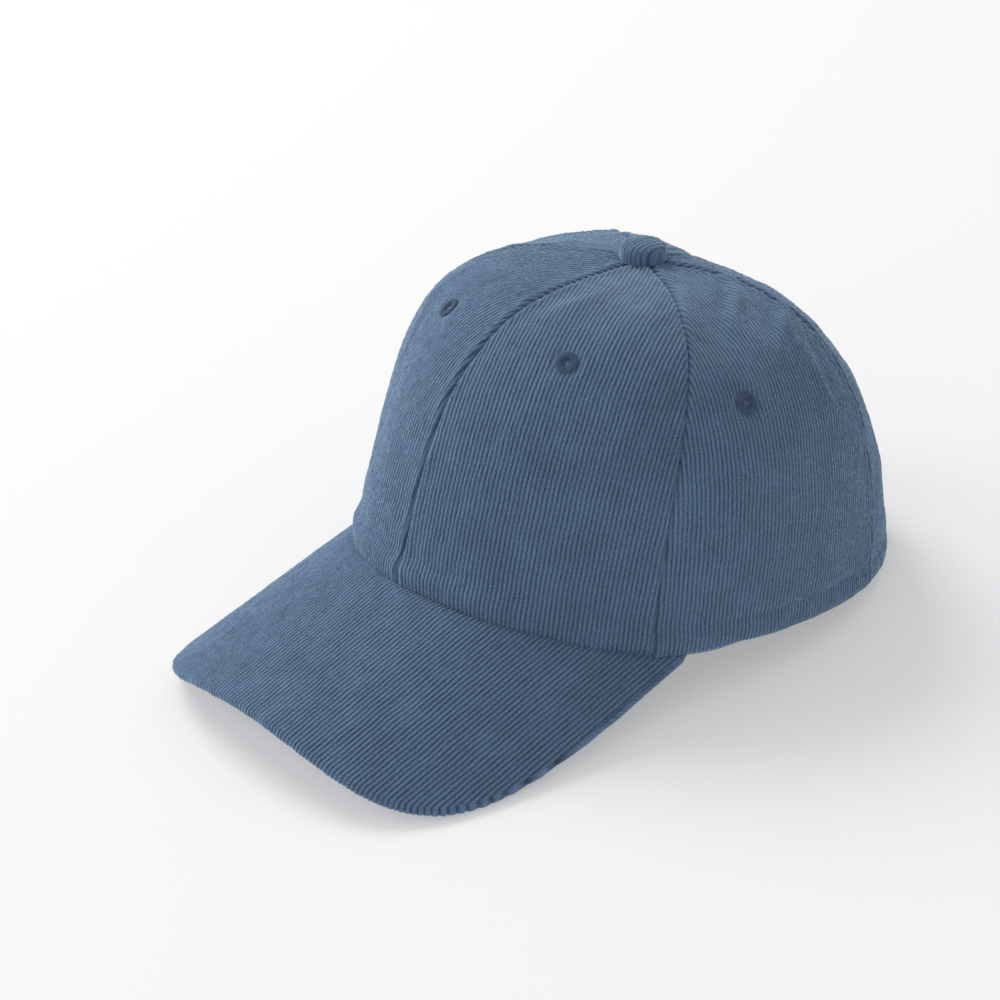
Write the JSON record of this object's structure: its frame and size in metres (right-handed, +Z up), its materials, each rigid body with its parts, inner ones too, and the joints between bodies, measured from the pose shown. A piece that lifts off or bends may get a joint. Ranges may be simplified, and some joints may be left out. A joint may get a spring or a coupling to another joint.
{
  "type": "baseball cap",
  "caption": "Corduroy baseball cap with a six-panel crown, curved visor, covered top button, sewn vent eyelets and a rear strap closed by a hinged clamp buckle.",
  "frame": {"origin": "on the table under the middle of the cap's bounding box", "axes": "+Z up, -Y out of the front of the visor, +X towards the wearer's left, as the cap stands on a table"},
  "size_m": [0.171, 0.274, 0.1298],
  "materials": {
    "corduroy": "slate-blue cotton corduroy, about sixteen wales to the inch, matt with a soft sheen where it turns away",
    "sweatband_twill": "navy cotton twill",
    "seam_tape": "navy woven cotton tape",
    "buckram": "off-white stiffened mesh cloth",
    "visor_board": "plain polyethylene sheet",
    "eyelet_thread": "navy polyester thread, satin stitched",
    "buckle_metal": "satin nickel-plated steel",
    "rivet_metal": "plain pressed metal",
    "label_satin": "white woven satin, blank"
  },
  "bodies": {
    "crown": {"panel_front_left": "corduroy", "panel_front_right": "corduroy", "panel_side_left": "corduroy", "panel_side_right": "corduroy", "panel_back_left": "corduroy", "panel_back_right": "corduroy", "visor_top_cover": "corduroy", "visor_lining": "corduroy", "closure_strap": "corduroy", "buckle_tab": "corduroy", "strap_keeper": "corduroy", "sweatband": "sweatband_twill", "tape_front_centre": "seam_tape", "tape_back_centre": "seam_tape", "tape_side_left": "seam_tape", "tape_side_right": "seam_tape", "tape_rear_left": "seam_tape", "tape_rear_right": "seam_tape", "arch_binding": "seam_tape", "buckram_left": "buckram", "buckram_right": "buckram", "visor_board": "visor_board", "eyelet_front_left": "eyelet_thread", "eyelet_front_right": "eyelet_thread", "eyelet_side_left": "eyelet_thread", "eyelet_side_right": "eyelet_thread", "eyelet_back_left": "eyelet_thread", "eyelet_back_right": "eyelet_thread", "buckle_frame": "buckle_metal"},
    "top_button": {"button_cover": "corduroy", "button_shell": "rivet_metal", "button_rivet": "rivet_metal", "button_washer": "rivet_metal"},
    "buckle_lever": {"buckle_lever": "buckle_metal"},
    "care_label": {"care_label": "label_satin"}
  },
  "joints": [
    {"name": "button_swivel", "type": "hinge", "parent": "crown", "child": "top_button", "pos_m": [0, 0.04489, 0.12234], "axis": [0, 0.0899, 0.9959], "continuous": true},
    {"name": "lever_hinge", "type": "hinge", "parent": "crown", "child": "buckle_lever", "pos_m": [-0.00837, 0.13144, 0.01586], "axis": [-0.043, 0.1861, -0.9816], "range_deg": [0, 105]},
    {"name": "label_hinge", "type": "hinge", "parent": "crown", "child": "care_label", "pos_m": [-0.05052, 0.09883, 0.03243], "axis": [-0.7109, -0.7004, 0.0633], "range_deg": [0, 100]}
  ]
}
